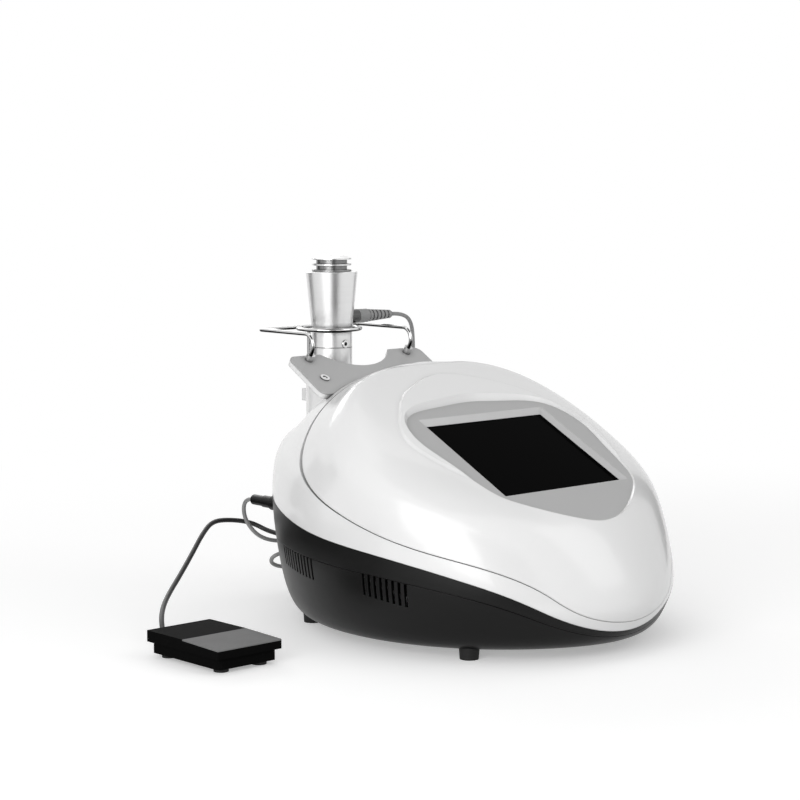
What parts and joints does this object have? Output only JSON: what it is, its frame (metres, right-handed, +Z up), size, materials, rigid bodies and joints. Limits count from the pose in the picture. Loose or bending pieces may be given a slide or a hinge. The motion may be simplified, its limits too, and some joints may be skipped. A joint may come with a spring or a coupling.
{
  "type": "oxygen jet facial machine",
  "caption": "Egg-shaped tabletop facial console with a sloping touchscreen, a metal jet handpiece in a chrome wire rest and a corded foot switch.",
  "frame": {"origin": "on the table, in the housing's plane of symmetry, under its middle", "axes": "+Z up, -Y towards the nose below the screen, +X to the right of someone who looks along +Y"},
  "size_m": [0.5112, 0.4904, 0.3604],
  "materials": {
    "white_shell": "glossy white moulded shell",
    "grey_panel": "smooth satin light grey",
    "frame_silver": "satin silver",
    "black_base": "satin black",
    "screen_glass": "black glass front",
    "display_metal": "plain",
    "black_rubber": "matte",
    "chrome": "polished",
    "handpiece_metal": "fine turned satin",
    "brass": "turned",
    "grey_cable": "satin grey",
    "pedal_black": "fine matte",
    "tread_grey": "matte dark grey",
    "steel": "plain",
    "chassis_zinc": "zinc grey",
    "motor_metal": "dark grey",
    "inner_black": "plain",
    "clear_hose": "milky",
    "board_green": "board"
  },
  "bodies": {
    "root": {"top_cover": "white_shell", "rear_skirt": "white_shell", "bracket_arm": "white_shell", "panel_ledge": "white_shell", "handpiece_cup": "white_shell", "screen_bezel": "grey_panel", "bracket_plate": "grey_panel", "screen_frame": "frame_silver", "base_band": "black_base", "base_tub": "black_base", "power_panel": "black_base", "power_inlet": "black_base", "rocker_frame": "black_base", "rear_socket": "black_base", "rear_plug": "black_base", "touch_glass": "screen_glass", "display_module": "display_metal", "housing_feet": "black_rubber", "pedal_feet": "black_rubber", "foot_lead": "black_rubber", "foot_gland": "black_rubber", "pedal_gland": "black_rubber", "wire_rest": "chrome", "rod_collars": "chrome", "button_screws": "chrome", "inlet_pins": "brass", "valve_block": "brass", "handpiece_lead": "grey_cable", "pedal_base": "pedal_black", "pedal_switch": "pedal_black", "case_screws": "steel", "pedal_pin": "steel", "return_spring": "steel", "chassis": "chassis_zinc", "power_supply": "chassis_zinc", "pump_motor": "motor_metal", "valve_coil": "motor_metal", "pump_head": "inner_black", "fan_frame": "inner_black", "socket_hose": "clear_hose", "pump_hose": "clear_hose", "control_board": "board_green"},
    "handpiece": {"end_cap": "handpiece_metal", "sleeve": "handpiece_metal", "barrel": "handpiece_metal", "grip": "handpiece_metal", "nozzle_head": "handpiece_metal", "nozzle_cap": "handpiece_metal", "lock_screw": "chrome", "mixing_core": "brass", "handpiece_socket": "chrome", "cable_plug": "grey_cable", "cable_relief": "grey_cable"},
    "treadle": {"pedal_lid": "pedal_black", "pedal_tread": "tread_grey"},
    "plunger": {"switch_plunger": "inner_black"},
    "fan": {"fan_rotor": "inner_black"},
    "rocker": {"power_rocker": "black_base"}
  },
  "joints": [
    {"name": "handpiece_lift", "type": "slide", "parent": "root", "child": "handpiece", "axis": [0, 0, 1], "range_m": [0, 0.1]},
    {"name": "pedal_press", "type": "hinge", "parent": "root", "child": "treadle", "pos_m": [-0.2912, 0.0943, 0.0175], "axis": [1, 0, 0], "range_deg": [0, 1.6], "stiffness_Nm_per_rad": 2, "springref_deg": -8.59},
    {"name": "plunger_press", "type": "slide", "parent": "root", "child": "plunger", "axis": [0, 0, 1], "range_m": [-0.0018, 0]},
    {"name": "fan_spin", "type": "hinge", "parent": "root", "child": "fan", "pos_m": [0, 0.1665, 0.053], "axis": [0, 1, 0], "continuous": true},
    {"name": "rocker_tip", "type": "hinge", "parent": "root", "child": "rocker", "pos_m": [0.02, 0.221, 0.05], "axis": [1, 0, 0], "range_deg": [0, 16]}
  ],
  "couplings": [
    {"joint": "plunger_press", "follows": "pedal_press", "m_per_rad": -0.06}
  ]
}
